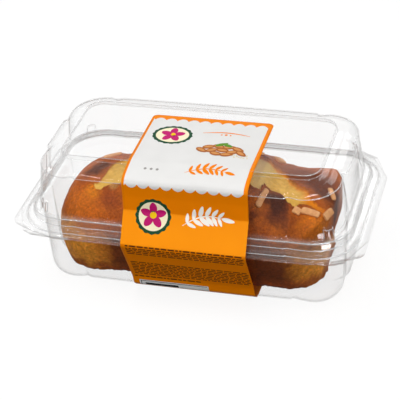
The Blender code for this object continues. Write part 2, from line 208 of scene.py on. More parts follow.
# name: place in mm, aim in mm, width, height in mm, power in watts, what it lights
softboxes = {
    "overhead": ((-150, -60, 1100), (0, 0, 60), 700, 350, 5.4, "matt"),
    "front": ((30, -1000, 480), (0, 0, 40), 1200, 500, 5.9, "matt"),
    "strip": ((70, -700, 900), (0, 0, 60), 400, 70, 1.3, "gloss"),
    "glintRight": ((218, -130, 1109), (77, -44, 79), 400, 170, 3.7, "gloss"),
    "glintFront": ((-417, -130, 1067), (-61, -44, 79), 400, 12, 0.3, "gloss"),
    "glintLeft": ((-860, 180, 827), (-79, -40, 79), 180, 180, 1.4, "gloss"),
    "back": ((-300, 900, 650), (0, 0, 70), 900, 500, 1.3, "gloss"),
    "backRight": ((190, 905, 840), (85, 20, 80), 300, 300, 1.2, "gloss"),
    "left": ((-900, 0, 500), (0, 0, 50), 300, 500, 1.6, "both"),
    "right": ((900, 0, 500), (0, 0, 50), 300, 500, 2.6, "both"),
    "rim": ((700, -755, -90), (85, -47, 48), 450, 220, 4.4, "gloss"),
}


def makeStudio():
    # Sky strength eases over the flag's edge in y and over the horizon in z; then boxes and floor
    world = bpy.data.worlds.new("studio")
    world.use_nodes = True
    tree = world.node_tree
    tree.nodes.clear()
    where = addNode(tree, "ShaderNodeTexCoord")
    split = addNode(tree, "ShaderNodeSeparateXYZ", {0: where.outputs["Generated"]})
    below = ranged(tree, split.outputs["Y"], studio["front"], studio["behind"], *studio["flagEdge"])
    ramp = ranged(tree, split.outputs["Z"], below, studio["sky"], *studio["horizon"])
    rays = addNode(tree, "ShaderNodeLightPath")
    share = ranged(tree, rays.outputs["Is Diffuse Ray"], 1.0, studio["matt"])
    strength = calculate(tree, "MULTIPLY", ramp, share)
    glow = addNode(tree, "ShaderNodeBackground", {"Color": (1, 1, 1, 1), "Strength": strength})
    addNode(tree, "ShaderNodeOutputWorld", {"Surface": glow.outputs[0]})
    bpy.context.scene.world = world
    for name, (place, aim, width, height, power, kind) in softboxes.items():
        data = bpy.data.lights.new(name, "AREA")
        data.shape = "RECTANGLE"
        data.size, data.size_y, data.energy = width * mm, height * mm, power
        lamp = bpy.data.objects.new(name, data)
        way = Vector(aim) - Vector(place)
        lamp.matrix_world = (Matrix.Translation(Vector(place) * mm)
                             @ way.to_track_quat("-Z", "Y").to_matrix().to_4x4())
        bpy.context.scene.collection.objects.link(lamp)
        lamp.visible_diffuse = kind != "gloss"
        lamp.visible_glossy = kind != "matt"
    # Pale matt studio floor, lit from within a little so that it stays nearly white
    material, tree, show = newMaterial("pale matt studio floor")
    show(addNode(tree, "ShaderNodeBsdfPrincipled",
                 {"Base Color": paint(studio["floor"]), "Roughness": 0.9,
                  "Emission Color": (1, 1, 1, 1), "Emission Strength": studio["floorGlow"]}))
    u, v = np.meshgrid(np.linspace(-1, 1, 9), np.linspace(-1, 1, 9), indexing="ij")
    half = studio["floorHalf"]
    points = np.stack([u * half, v * half, np.full_like(u, -studio["floorDrop"])], axis=-1)
    floor = putMesh("floor", points, gridFaces(9, 9, False), material)
    floor.visible_glossy = False
    floor.visible_diffuse = False
    bpy.context.scene.view_settings.view_transform = "Standard"
    bpy.context.scene.cycles.transparent_max_bounces = studio["clearLayers"]
    bpy.context.scene.cycles.max_bounces = studio["bounces"]


# Groove and lug sizes of the walls, as the solids have them
walls = dict(grooveX=63.6, grooveY=16.5, grooveIn=1.8, grooveOut=4.2, bow=0.4, lugAngle=50.0,
             lugHalf=8.5, sheet=0.5, rimGap=0.12, grooveShift=-1.1, grooveReach=8.3)

# Half length, half depth, corner radius, height, groove, end swell, side swell, lug, floor lift
lidCrown = [
    (77.5, 31.3, 9.5, 83.4, 0, 0, 0, 0, 0),
    (78.0, 31.8, 9.9, 80.9, 0, 0, 0, 0, 0),
    (84.0, 38.2, 15.0, 80.3, 0, 0, 0, 0, 0),
    (87.6, 42.9, 18.0, 79.4, 0.8, 0.6, 0.2, 0, 0),
    (88.9, 45.1, 19.6, 78.2, 1.8, 1.5, 0.4, 0, 0),
    (89.6, 45.8, 20.0, 76.9, 1.8, 1.5, 0.4, 0, 0),
    (89.9, 45.9, 20.0, 74.5, 1.7, 1.4, 0.4, 0, 0),
    (91.6, 46.8, 20.0, 60.0, 1.2, 0.6, 0.1, 0, 0),
    (91.9, 46.9, 20.0, 57.6, 1.1, 0.5, 0.1, 0, 0),
    (91.9, 46.9, 20.0, 57.2, 1.1, 0.5, 0.1, 2.4, 0),
    (92.9, 47.5, 20.0, 50.7, 0.7, 0, 0, 2.4, 0),
]
lidRim = [
    (96.2, 50.3, 22.0, 50.5, 0.3, 0, 0, 0, 0),
    (96.8, 51.1, 22.5, 46.2, 0.6, 0, 0, 0, 0),
    (100.4, 54.5, 25.0, 46.0, 0.3, 0, 0, 0, 0),
    (101.0, 55.1, 25.5, 43.8, 0.6, 0, 0, 0, 0),
]
panelRings = (0, 0.3, 0.6, 0.85, 0.97)  # sizes of the panel's inner rings
# Cut of each fillet: the panel's inner rings, the crown's, the rim's and the lip
lidFillets = (0, 0, 0, 0, 0,
              0.5, 0.5, 1.2, 1.0, 0.7, 0.8, 0.3, 0.3, 0.15, 0.5, 0.6,
              0.6, 0.5, 0.3, 0.3,
              0)
# Lips: height, centre that their rays start from, and outlines of a quarter from end to side
lipHeight = 43.6
lipCentre = (75.5, 29.6)
lidLip = [(105.4, 0), (105.4, 33), (100, 46), (96, 55), (90, 58.4), (78, 59.3), (0, 59.3)]
trayLipFront = [(105.9, 0), (105.9, 44.4), (103.7, 47.6), (98.1, 50.7), (89.3, 54.6),
                (81.9, 56.7), (76, 59.3), (0, 59.3)]
trayLipBack = [(105.4, 0), (105.4, 35), (93, 56.5), (85, 62.4), (0, 62.5)]

# Half length, half depth and radius at the foot and top of the tray's wall, then its base;
# grooves and lifts go with the angle round the bottom edge, 0 at the wall and 90 at the floor
trayWall = dict(low=(90.3, 45.2, 17.0), top=(91.9, 46.4, 19.0), topGroove=0.8, endSwell=1.6,
                bottomRound=10.5, baseRadius=6.0, floorLift=0.7, floorRings=23,
                grooves=((0, 30, 60, 90), (1.8, 1.8, 1.4, 0.8)), lifts=((30, 60, 90), (0, 0.5, 1)),
                fillets=(1.0, 0.9, 1.0, 1.0, 0.9, 0))
# Degrees at which a corner is cut, closer together on the lug
cornerArc = np.unique(np.r_[np.linspace(0, 90, 31), np.linspace(41.5, 58.5, 13)])


def wholeRing(back, front):
    # Quarters from the middle of the end to the middle of the side, mirrored across both axes
    return np.concatenate([back, back[:, -2::-1] * (-1, 1), front[:, 1:] * (-1, -1),
                           front[:, -2:0:-1] * (1, -1)], axis=1)


def ringCuts():
    # How far each corner of a ring is cut back when it is rounded, in mm
    quarter = np.r_[0, 1.2, 1.1, 0.9, np.zeros(len(cornerArc)), 1.6, 1.2, 1.2, 0, 0]
    return np.r_[quarter, quarter[-2::-1], quarter[1:], quarter[-2:0:-1]]


def stationRings(stations):
    # A quarter is the straight end with its groove, the corner arc r (cos a, sin a) with the lug
    # standing proud by lug * sqrt(1 - off^2), and the long side with its groove and slight bow
    columns = np.asarray(stations, float).T[:, :, None]
    hx, hy, r, z, groove, endSwell, sideSwell, lug, lift = columns
    w = walls
    off = (cornerArc - w["lugAngle"]) / w["lugHalf"]
    reach = r + lug * np.sqrt(np.maximum(0, 1 - off ** 2))
    a = np.radians(cornerArc)
    side = hy + sideSwell
    none = np.zeros_like(hx)
    x = np.concatenate([hx + endSwell, hx + endSwell, hx - groove, hx - 0.2 * groove,
                        hx - r + reach * np.cos(a), none + w["grooveX"] + w["grooveOut"],
                        none + w["grooveX"], none + w["grooveX"] - w["grooveIn"],
                        none + w["grooveX"] / 2, none], axis=1)
    y = np.concatenate([none, none + w["grooveY"] - w["grooveIn"], none + w["grooveY"],
                        none + w["grooveY"] + w["grooveIn"], hy - r + reach * np.sin(a),
                        hy - 0.3 * groove, hy - groove, side, side + 0.75 * w["bow"],
                        side + w["bow"]], axis=1)
    quarter = np.stack([x, y], axis=-1)
    return liftedRings(wholeRing(quarter, quarter), z, lift)


def liftedRings(flat, z, lift):
    # The middle of the floor is lifted: full lift up to the long side's groove, none past it
    w = walls
    outer = w["grooveX"] + w["grooveOut"]
    share = np.clip((outer - np.abs(flat[..., 0])) / (w["grooveOut"] + w["grooveIn"]), 0, 1)
    return np.concatenate([flat, (z + lift * share)[..., None]], axis=-1)


def castOut(starts, ways, outline):
    # Nearest crossing of each ray with an open outline of straight pieces
    a, e = outline[:-1], np.diff(outline, axis=0)
    det = ways[:, None, 0] * e[None, :, 1] - ways[:, None, 1] * e[None, :, 0]
    det = np.where(np.abs(det) < 1e-9, np.nan, det)
    d = a[None] - starts[:, None]
    along = (d[..., 0] * e[None, :, 1] - d[..., 1] * e[None, :, 0]) / det
    share = (d[..., 0] * ways[:, None, 1] - d[..., 1] * ways[:, None, 0]) / det
    met = (along > 0) & (share >= -1e-6) & (share <= 1 + 1e-6)
    along = np.nanmin(np.where(met, along, np.nan), axis=1)
    return starts + ways * along[:, None]


def lipQuarter(outline):
    # The quarter's points carried straight out to the lip's own outline
    w, (cx, cy) = walls, lipCentre
    outline = np.array(outline, float)
    endY = np.array([1e-4, w["grooveY"] - w["grooveIn"], w["grooveY"], w["grooveY"] + w["grooveIn"]])
    sideX = w["grooveX"] + np.array([w["grooveOut"], 0, -w["grooveIn"]])
    a = np.radians(cornerArc)
    starts = np.concatenate([np.c_[endY * 0 + cx, endY], np.c_[a * 0 + cx, a * 0 + cy],
                             np.c_[sideX, sideX * 0 + cy]])
    ways = np.concatenate([np.c_[endY * 0 + 1, endY * 0], np.c_[np.cos(a), np.sin(a)],
                           np.c_[sideX * 0, sideX * 0 + 1]])
    met = castOut(starts, ways, outline)
    met[0, 1] = 0
    depth = outline[-1, 1]
    middle = [(w["grooveX"] / 2, depth + 0.75 * w["bow"]), (0, depth + w["bow"])]
    return np.concatenate([met, middle])


def lipRing(backOutline, frontOutline, z):
    # One level ring with the lip's outline, the back and the front each of its own
    flat = wholeRing(lipQuarter(backOutline)[None], lipQuarter(frontOutline)[None])
    return liftedRings(flat, np.full((1, 1), z), 0.0)


def inset(stations, distance, firstWay):
    # Profile moved to its inner side, along the half-angle at each point, by distance / cos(half)
    s = np.asarray(stations, float).copy()
    ways = np.diff(s[:, [1, 3]], axis=0)
    length = np.hypot(*ways.T)[:, None]
    ways = ways / np.maximum(length, 1e-6)
    before = np.concatenate([[firstWay], ways])
    after = np.concatenate([ways, [(1.0, 0.0)]])
    out = -before[:, 1] - after[:, 1]
    up = before[:, 0] + after[:, 0]
    size = (out ** 2 + up ** 2) / 2
    s[:, :3] -= (out * distance / size)[:, None]
    s[:, 3] -= up * distance / size
    return s


def rounded(grid, cuts, closed, steps=4):
    # Each column P with a cut becomes the arc (1-t)^2 A + 2t(1-t) P + t^2 B, where A and B lie
    # towards the neighbouring columns, at the cut's distance or 0.45 of the way if that is less
    cuts = np.asarray(cuts, float)
    before, after = np.roll(grid, 1, axis=1), np.roll(grid, -1, axis=1)
    if not closed:
        before[:, 0], after[:, -1] = grid[:, 0], grid[:, -1]
    which = np.repeat(np.arange(len(cuts)), np.where(cuts > 0, steps, 1))
    t = np.concatenate([np.linspace(0, 1, steps) if c > 0 else [0.5] for c in cuts])[None, :, None]
    middle = grid[:, which]

    def pulled(other):
        way = other[:, which] - middle
        length = np.linalg.norm(way, axis=2, keepdims=True)
        return middle + way * np.minimum(cuts[which][None, :, None] / np.maximum(length, 1e-9), 0.45)

    return (1 - t) ** 2 * pulled(before) + 2 * t * (1 - t) * middle + t ** 2 * pulled(after)


def shrunk(ring, shares):
    # Rings drawn in towards the middle, to close the panel or the floor at a pole
    return np.stack([np.concatenate([ring[:, :2] * s, ring[:, 2:]], axis=1) for s in shares])


def shellSkin(rings, profileCuts):
    # Corners rounded along the rings, then along the profile; the grooves of the long sides moved
    # by shift * (1 - |x - groove| / reach)
    grid = rounded(rings, ringCuts(), True)
    grid = rounded(grid.swapaxes(0, 1), profileCuts, False).swapaxes(0, 1)
    x = grid[..., 0]
    window = np.clip(1 - np.abs(np.abs(x) - walls["grooveX"]) / walls["grooveReach"], 0, 1)
    return np.concatenate([(x + walls["grooveShift"] * window)[..., None], grid[..., 1:]], axis=-1)


def thicken(piece, thickness):
    # Even wall, grown inwards from the outer skin
    sheet = piece.modifiers.new("sheet", "SOLIDIFY")
    sheet.thickness = thickness * mm
    sheet.offset = -1.0
    sheet.use_even_offset = True


# PET sheet about 0.5 mm thick, thermoformed over a mould: fully clear and glossy, so it shows
# mostly as bright lines where its creases and ribs catch the softboxes, and as a grey that
# deepens where the eye looks along the sheet and so through more of it. The thick, little
# stretched flange is slightly cloudy
clearSheet = dict(straight=0.023, rise=6.0, most=0.75, clear="fefefe", along="d8d6d4",
                  deepen=9.0, cloud="f4f4f4", haze=0.003, flangeHaze=0.012,
                  flange=(0.0475, 0.0045), roughness=0.025, ripple=9, rippleLift=0.2)


def clearPetMaterial():
    # Gloss share = straight + (most - straight) facing^rise, tint moves by facing^deepen
    s = clearSheet
    material, tree, show = newMaterial("clear PET sheet, thermoformed")
    facing = addNode(tree, "ShaderNodeLayerWeight", {"Blend": 0.5}).outputs["Facing"]
    share = ranged(tree, calculate(tree, "POWER", facing, s["rise"]), s["straight"], s["most"])
    where = addNode(tree, "ShaderNodeTexCoord")
    bump = bumped(tree, noise(tree, where, s["ripple"], 1.0), 0.12, s["rippleLift"])
    tint = blended(tree, paint(s["clear"]), paint(s["along"]),
                   calculate(tree, "POWER", facing, s["deepen"]))
    through = addNode(tree, "ShaderNodeBsdfTransparent", {"Color": tint})
    gloss = addNode(tree, "ShaderNodeBsdfGlossy", {"Roughness": s["roughness"], "Normal": bump})
    haze = addNode(tree, "ShaderNodeBsdfDiffuse", {"Color": paint(s["cloud"])})
    split = addNode(tree, "ShaderNodeSeparateXYZ", {0: where.outputs["Object"]})
    flange = calculate(tree, "COMPARE", split.outputs["Z"], *s["flange"])
    cloudy = calculate(tree, "MULTIPLY_ADD", flange, s["flangeHaze"], s["haze"])
    show(mixed(tree, share, mixed(tree, cloudy, through, haze), gloss))
    return material


# Row of the lid's profile at which each crease lies, and the radius of its bead in mm
creases = dict(share=0.45, glossy="c8c8c8", matt="f0f0f0", roughness=0.15, start=5,
               rows={"Panel": (5, 0.34), "Step": (6, 0.14), "Shoulder": (10, 0.34),
                     "Foot": (16, 0.7), "Rise": (17, 0.45), "Edge": (19, 0.5)},
               shoulder=10, lugTop=14, foot=15, corner=(20.0, 39.8), cornerHeights=(76.3, 53.0),
               upright=0.34, lugCentre=(71.9, 26.9), lugBead=0.32)


# PET where a crease gathers the sheet: it bends the light so far that it shows as a thin line,
# grey against the white set and bright against the cake
def creaseMaterial():
    # Opacity = share (1 - facing): dense in the bead's middle, nothing at its rims
    material, tree, show = newMaterial("clear PET crease, thermoformed")
    through = addNode(tree, "ShaderNodeBsdfTransparent")
    gloss = addNode(tree, "ShaderNodeBsdfGlossy", {"Color": paint(creases["glossy"]),
                                                   "Roughness": creases["roughness"]})
    spread = addNode(tree, "ShaderNodeBsdfDiffuse", {"Color": paint(creases["matt"])})
    facing = addNode(tree, "ShaderNodeLayerWeight", {"Blend": 0.5}).outputs["Facing"]
    show(mixed(tree, ranged(tree, facing, creases["share"], 0.0), through,
               mixed(tree, 0.5, gloss, spread)))
    return material


def creaseBead(name, path, radius, material):
    # Round bead along a closed ring: P + r (side cos a + up sin a), side level and square to it,
    # with r = radius (0.75 + 0.75 |side x|), so that it is stouter along the ends
    way = np.roll(path, -1, axis=0) - np.roll(path, 1, axis=0)
    way /= np.maximum(np.hypot(way[:, 0], way[:, 1]), 1e-9)[:, None]
    side = np.stack([way[:, 1], -way[:, 0], way[:, 0] * 0], axis=-1)
    a = np.linspace(0, 2 * np.pi, 9)[:-1, None]
    r = radius * (0.75 + 0.75 * np.abs(side[:, :1, None]))
    grid = path[:, None] + r * (side[:, None] * np.cos(a) + np.array([0, 0, 1]) * np.sin(a))
    grid = np.concatenate([grid, grid[:1]])
    return putMesh(name, grid, gridFaces(*grid.shape[:2], True)[:, ::-1], material)


def openBead(path, radius, outward):
    # Round bead along an open path, shut at both ends: r = radius (1 - t^12)^0.5, t from -1 to 1,
    # each ring square to the path
    way = np.gradient(path, axis=0)
    way /= np.linalg.norm(way, axis=1, keepdims=True)
    outward = outward - way * (way * outward).sum(axis=1, keepdims=True)
    outward /= np.linalg.norm(outward, axis=1, keepdims=True)
    upward = np.cross(outward, way)
    t = np.linspace(-1, 1, len(path))[:, None, None]
    a = np.linspace(0, 2 * np.pi, 9)[:-1, None]
    around = outward[:, None] * np.cos(a) + upward[:, None] * np.sin(a)
    return path[:, None] + radius * np.sqrt(1 - t ** 12) * around


def cornerLine(grid, first, last):
    # Course of the crease from the shoulder down the end wall and round to the lug, t from 0 to 1:
    # y = a + (b - a) t^3, z = foot + (head - foot) (1 - t)^2.2, laid on the wall between its rows
    c = creases
    t = np.linspace(0, 1, 34)
    y = c["corner"][0] + (c["corner"][1] - c["corner"][0]) * t ** 3
    z = c["cornerHeights"][1] + (c["cornerHeights"][0] - c["cornerHeights"][1]) * (1 - t) ** 2.2
    heights = grid[first:last, 0, 2]
    row = first + np.interp(-z, -heights, np.arange(last - first))
    rising = grid[first, :60, 1]
    column = np.interp(y, rising, np.arange(60))
    r, k = np.floor(row).astype(int), np.floor(column).astype(int)
    u, v = (row - r)[:, None], (column - k)[:, None]
    upper = grid[r, k] * (1 - v) + grid[r, k + 1] * v
    lower = grid[r + 1, k] * (1 - v) + grid[r + 1, k + 1] * v
    return upper * (1 - u) + lower * u


def joinGrids(name, grids, closed, material):
    # Several grids in one mesh
    quads, start = [], 0
    for grid in grids:
        quads.append(gridFaces(*grid.shape[:2], closed)[:, ::-1] + start)
        start += grid.shape[0] * grid.shape[1]
    points = np.concatenate([grid.reshape(-1, 3) for grid in grids])
    return putMesh(name, points, np.concatenate(quads), material)


def columnBeads(grid):
    # Creases down the four corners, and round the roof and sides of the lugs
    c = creases
    shoulder, lugTop, foot = (c["start"] + 4 * (c[row] - c["start"])
                              for row in ("shoulder", "lugTop", "foot"))
    level = np.array([[1.0, 0.0, 0.0]])
    corner = cornerLine(grid, shoulder + 1, foot + 4)
    beads = []
    for sx, sy in ((1, 1), (-1, 1), (-1, -1), (1, -1)):
        beads.append(openBead(corner * (sx, sy, 1), c["upright"], corner * (sx, sy, 0)))
        at = grid[lugTop + 2] * (sx, sy, 1)
        turn = np.degrees(np.arctan2(at[:, 1] - c["lugCentre"][1], at[:, 0] - c["lugCentre"][0]))
        columns = np.flatnonzero((np.abs(turn - walls["lugAngle"]) < walls["lugHalf"] + 0.3)
                                 & (at[:, 0] > c["lugCentre"][0]) & (at[:, 1] > c["lugCentre"][1]))
        roof = (grid[lugTop + 1, columns] + grid[lugTop + 2, columns]) / 2
        out = roof * (1, 1, 0) - np.array([sx * c["lugCentre"][0], sy * c["lugCentre"][1], 0])
        bead = c["lugBead"] * (0.5 if sy > 0 else 1)  # the back lugs are softer
        beads.append(openBead(roof, bead, out))
        for column in (columns[0], columns[-1]):
            beads.append(openBead(grid[lugTop + 1:foot + 3, column], bead, level))
    return beads


def makeCreases(grid, material):
    # The middle of each fillet's four rows
    pieces = [joinGrids("creaseColumns", columnBeads(grid), True, material)]
    for name, (row, radius) in creases["rows"].items():
        first = creases["start"] + 4 * (row - creases["start"])
        path = (grid[first + 1] + grid[first + 2]) / 2
        pieces.append(creaseBead("crease" + name, path, radius, material))
    return pieces


def makeLid(material):
    # Pole of the panel, panel, crown, rim and lip, one skin from the middle of the top outwards
    rings = stationRings(lidCrown + lidRim)
    panel = shrunk(rings[0], panelRings)
    lip = lipRing(lidLip, lidLip, lipHeight)
    grid = shellSkin(np.concatenate([panel, rings, lip]), lidFillets)
    quads = gridFaces(*grid.shape[:2], True)[:, ::-1]
    piece = putMesh("lidSheet", grid, quads, material)
    thicken(piece, walls["sheet"])
    return piece, grid


def makeTray(material):
    # Floor, quarter round r (1 - cos a, 1 - sin a), wall, the lid's rim moved in, and the lip
    t, w = trayWall, walls
    lowX, lowY, lowR = t["low"]
    angles = np.arange(90, -1, -10.0)
    back = t["bottomRound"] * (1 - np.cos(np.radians(angles)))
    stations = np.zeros((len(angles), 9))
    stations[:, 0], stations[:, 1] = lowX - back, lowY - back
    stations[:, 2] = np.maximum(lowR - back, t["baseRadius"])
    stations[:, 3] = t["bottomRound"] * (1 - np.sin(np.radians(angles)))
    stations[:, 4] = np.interp(angles, *t["grooves"])
    stations[:, 5] = t["endSwell"]
    stations[:, 8] = np.interp(angles, *t["lifts"]) * t["floorLift"]
    nest = 2 * w["sheet"] + w["rimGap"]
    footless = [lidCrown[-1][:7] + (0, 0)]
    rimUnder = inset(footless + lidRim, nest, (0.0, -1.0))[1:]
    top = (*t["top"], rimUnder[0, 3], t["topGroove"], 0, 0, 0, 0)
    body = np.concatenate([stations, [top], rimUnder])
    rings = stationRings(body)
    floor = shrunk(rings[0], np.linspace(0, 1, t["floorRings"], endpoint=False))[..., :2]
    floor = liftedRings(floor, np.full((1, 1), 0.0), t["floorLift"])
    lip = lipRing(trayLipBack, trayLipFront, lipHeight - nest)
    cuts = np.r_[np.zeros(t["floorRings"] + len(angles)), t["fillets"]]
    grid = shellSkin(np.concatenate([floor, rings, lip]), cuts)
    piece = putMesh("traySheet", grid, gridFaces(*grid.shape[:2], True), material)
    thicken(piece, w["sheet"])
    return piece


# Ends in x, half length of a fold's rounding, paper and corner radius, in mm
label = dict(left=-33.8, right=40.75, fold=1.0, thickness=0.12, cornerRadius=3.0)
# Course of the label, (y, z), from its back edge over the front to under the base
labelCourse = np.array([(20.1, 83.7), (-30.3, 83.7), (-38.5, 82.2), (-42.8, 81.2), (-45.6, 79.8),
                        (-47.1, 77.6), (-47.3, 70.0), (-48.4, 60.6), (-60.0, 44.0), (-60.0, 42.0),
                        (-46.4, 11.5), (-45.0, 5.2), (-41.2, 1.3), (-36.0, 0.4), (-8.0, 0.4)])
courseLengths = np.r_[0, np.cumsum(np.hypot(*np.diff(labelCourse, axis=0).T))]
labelLength = courseLengths[-1]


def onLabel(x, s, height=0.0):
    # Place of (x, distance along the course): the mean of the course over s - fold to s + fold,
    # which rounds its corners to parabolas, moved out along the normal by the height
    fine = np.linspace(-4, labelLength + 4, 6001)
    inside = np.clip(fine, 0, labelLength)
    course = np.stack([np.interp(inside, courseLengths, labelCourse[:, k]) for k in (0, 1)], -1)
    first, last = labelCourse[0] - labelCourse[1], labelCourse[-1] - labelCourse[-2]
    course += np.minimum(fine, 0)[:, None] * -first / np.hypot(*first)
    course += np.maximum(fine - labelLength, 0)[:, None] * last / np.hypot(*last)
    step = fine[1] - fine[0]
    total = np.concatenate([[(0, 0)], np.cumsum((course[1:] + course[:-1]) / 2 * step, axis=0)])

    def mean(at):
        return np.stack([(np.interp(at + label["fold"], fine, total[:, k])
                          - np.interp(at - label["fold"], fine, total[:, k]))
                         / (2 * label["fold"]) for k in (0, 1)], axis=-1)

    place, way = mean(s), mean(s + 0.05) - mean(s - 0.05)
    way /= np.hypot(way[..., 0], way[..., 1])[..., None]
    y = place[..., 0] + way[..., 1] * height
    z = place[..., 1] - way[..., 0] * height
    return np.stack([x, y, z], axis=-1)


# Roughness and shine of the varnish, fibre and wave in mm, and how far the wave tints the ink
paper = dict(roughness=0.42, shine=0.08, fibre=1.2, fibreLift=0.04, wave=14, tint=(0.95, 1.04))


# Coated paper label, offset printed and varnished: even solid colours with a soft satin shine
def printMaterial(name, code):
    p = paper
    material, tree, show = newMaterial(name)
    where = addNode(tree, "ShaderNodeTexCoord")
    bump = bumped(tree, noise(tree, where, p["fibre"], 3.0), 0.12, p["fibreLift"])
    lower, upper = linear(code) * p["tint"][0], np.minimum(linear(code) * p["tint"][1], 1)
    tone = blended(tree, (*lower, 1), (*upper, 1), noise(tree, where, p["wave"], 1.0))
    show(addNode(tree, "ShaderNodeBsdfPrincipled",
                 {"Base Color": tone, "Normal": bump, "Roughness": p["roughness"], "IOR": 1.5,
                  "Specular IOR Level": p["shine"]}))
    return material


def makeLabel(material):
    # Sheet of (x, distance along the course), finer at the folds, its back corners cut round
    s = np.unique(np.r_[np.linspace(0, labelLength, 260),
                        (courseLengths[1:-1, None] + np.linspace(-1, 1, 9)).ravel()])
    t = np.linspace(0, 1, 41)
    r = label["cornerRadius"]
    trim = np.where(s < r, r - np.sqrt(np.maximum(r * r - (r - s) ** 2, 0)), 0)
    left, right = label["left"] + trim, label["right"] - trim
    x = left[:, None] + (right - left)[:, None] * t
    grid = onLabel(x, np.broadcast_to(s[:, None], x.shape))
    piece = putMesh("labelSheet", grid, gridFaces(*x.shape, False)[:, ::-1], material)
    thicken(piece, label["thickness"])
    return piece


def bar(x0, x1, s0, s1, corner):
    # Rounded bar: x runs over the length less corner (1 - sqrt(1 - v^2)), s over the width
    h = (s1 - s0) / 2
    v = np.sin(np.linspace(-1, 1, max(7, int(h * 3) + 5)) * np.pi / 2)
    u = np.linspace(-1, 1, 9)
    r = min(corner, h)
    edge = np.maximum(np.abs(v) * h - (h - r), 0) / r
    half = (x1 - x0) / 2 - r * (1 - np.sqrt(np.maximum(1 - edge ** 2, 0)))
    return (x0 + x1) / 2 + u * half[:, None], (s0 + s1) / 2 + v[:, None] * h + u * 0


def disc(cx, cs, rx, rs, wobble=0.0, lobes=5, turn=0.0, tip=0.0):
    # Polar patch: radius 1 + wobble cos(lobes a), drawn out towards a = 0 by tip, turned
    a = np.linspace(0, 2 * np.pi, 61)
    rho = np.linspace(0, 1, 7)[:, None]
    reach = rho * (1 + wobble * np.cos(lobes * a)) * (1 + tip * np.maximum(np.cos(a), 0) ** 6)
    px, ps = rx * reach * np.cos(a), rs * reach * np.sin(a)
    c, d = math.cos(math.radians(turn)), math.sin(math.radians(turn))
    return cx + px * c - ps * d, cs + px * d + ps * c


def scallopPanel(x0, x1, s0, s1, first, pitch, depth):
    # White field with a row of shallow scallops along its back and front edges
    x = np.linspace(x0, x1, 241)
    bulge = depth * np.abs(np.sin(np.pi * (x - first) / pitch)) ** 0.75
    top, low = s0 - bulge, s1 + bulge
    v = np.linspace(0, 1, 170)[:, None]
    return x + v * 0, top + (low - top) * v


def stem(x0, s0, x1, s1, bend, width):
    # Thin bowed line: straight from end to end plus bend sin(pi t), as wide as told in the middle
    t = np.linspace(0, 1, 33)[:, None]
    v = np.array([-0.5, 0.5]) * width * (1 - 0.7 * (2 * t - 1) ** 2)
    return x0 + (x1 - x0) * t - v * 0, s0 + (s1 - s0) * t - bend * np.sin(np.pi * t) + v


def sprig(x0, s0, x1, s1, bend, pairs, long, wide):
    # Stem with leaves in pairs, each an ellipse of long x wide drawn to a point, and one at its tip
    shapes = [stem(x0, s0, x1, s1, bend, 0.8)]
    for k in range(pairs):
        t = (k + 0.7) / (pairs + 0.4)
        x, s = x0 + (x1 - x0) * t, s0 + (s1 - s0) * t - bend * math.sin(math.pi * t)
        slope = math.atan2(s1 - s0 - bend * math.pi * math.cos(math.pi * t), x1 - x0)
        for side in (-1, 1):
            a = slope + side * 0.95
            size = 1 - 0.35 * abs(2 * t - 0.9)
            away = long * size * 1.05
            shapes.append(disc(x + away * math.cos(a), s + away * math.sin(a), long * size,
                               wide * size, turn=math.degrees(a), tip=0.3))
    end = math.degrees(math.atan2(s1 - s0 + bend * math.pi, x1 - x0))
    shapes.append(disc(x1 + 0.9 * long, s1 + 0.9 * long * math.tan(math.radians(end)), long, wide,
                       turn=end, tip=0.3))
    return shapes


def printRows(x0, x1, rows, height, seed, gap=0.8):
    # Rows of short dashes, their lengths drawn between 1.2 and 4.5 mm
    draw = random.Random(seed)
    shapes = []
    for s in rows:
        x = x0
        while x < x1 - 1.5:
            end = min(x1, x + draw.uniform(1.2, 4.5))
            xs = np.array([[x, end], [x, end]])
            shapes.append((xs, np.array([[s, s], [s + height, s + height]])))
            x = end + gap
    return shapes


def makePrint(name, shapes, height, material):
    # Shapes laid on the label, a little above it and above each other, and turned to face out
    points, quads, start = [], [], 0
    for k, (x, s, *lift) in enumerate(shapes):
        above = lift[0] if lift else 0.005 * k if len(shapes) < 20 else 0
        grid = onLabel(x, s, height + above).reshape(-1, 3)
        (downX, alongX), (downS, alongS) = np.gradient(x), np.gradient(s)
        area = alongX * downS - downX * alongS
        quads.append(gridFaces(*x.shape, False)[:, ::-1 if area.sum() > 0 else 1] + start)
        points.append(grid)
        start += len(grid)
    return putMesh(name, np.concatenate(points), np.concatenate(quads), material)


def blossom(cx, cs, reach, long, wide):
    # Five pointed petals, 72 degrees apart
    turns = [k * 1.2566 for k in range(5)]
    return [disc(cx + reach * math.sin(a), cs - reach * math.cos(a), long, wide, tip=0.12,
                 turn=72 * k - 90) for k, a in enumerate(turns)]


# Kernels of the drawn heap: x, distance along the label, heading in degrees
kernels = [(8.5, 30.6, -18), (14.4, 29.4, 14), (20.4, 29.8, -10), (26, 31, 24), (5, 34.2, 28),
           (11.2, 34, -24), (17.4, 33.2, 6), (23.4, 34.6, -14), (28.8, 35, 36), (14.2, 37, 12),
           (20.4, 37.4, -8)]


